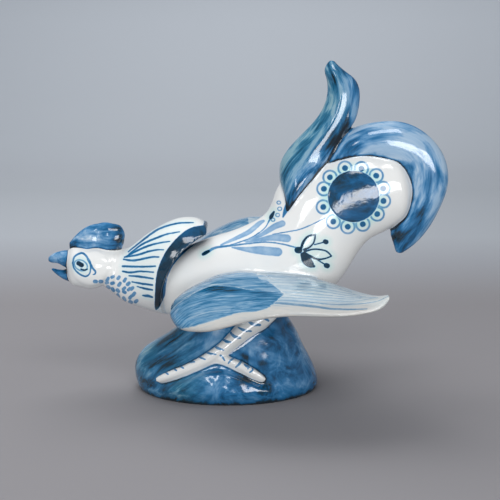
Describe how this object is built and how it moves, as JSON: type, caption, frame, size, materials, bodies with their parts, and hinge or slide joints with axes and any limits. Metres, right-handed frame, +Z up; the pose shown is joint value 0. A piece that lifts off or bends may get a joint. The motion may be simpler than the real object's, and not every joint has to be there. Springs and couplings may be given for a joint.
{
  "type": "ceramic rooster ornament",
  "caption": "Glazed blue-and-white ceramic rooster, lunging forward with spread wings over a rock mound, hollow cast and brush painted with flowers and feather lines",
  "frame": {"origin": "Middle of the flat foot of the rock mound, on the ground", "axes": "+Z up. The beak points along -X and the tail along +X. The left side of the bird, which the picture shows, looks along -Y."},
  "size_m": [0.338, 0.2064, 0.28],
  "materials": {
    "rock_glaze": "gloss",
    "white_glaze": "gloss",
    "cape_glaze": "gloss",
    "head_glaze": "gloss",
    "comb_glaze": "gloss",
    "beak_glaze": "gloss",
    "wing_glaze": "gloss",
    "leg_glaze": "gloss",
    "plume_glaze": "gloss",
    "crest_glaze": "gloss"
  },
  "bodies": {
    "root": {"base_rock": "rock_glaze", "body_shell": "white_glaze", "neck_cape": "cape_glaze", "head": "head_glaze", "comb": "comb_glaze", "upper_beak": "beak_glaze", "lower_beak": "beak_glaze", "left_wing": "wing_glaze", "right_wing": "wing_glaze", "left_leg": "leg_glaze", "right_leg": "leg_glaze", "tail_plume": "plume_glaze", "tail_crest": "crest_glaze"}
  },
  "joints": []
}
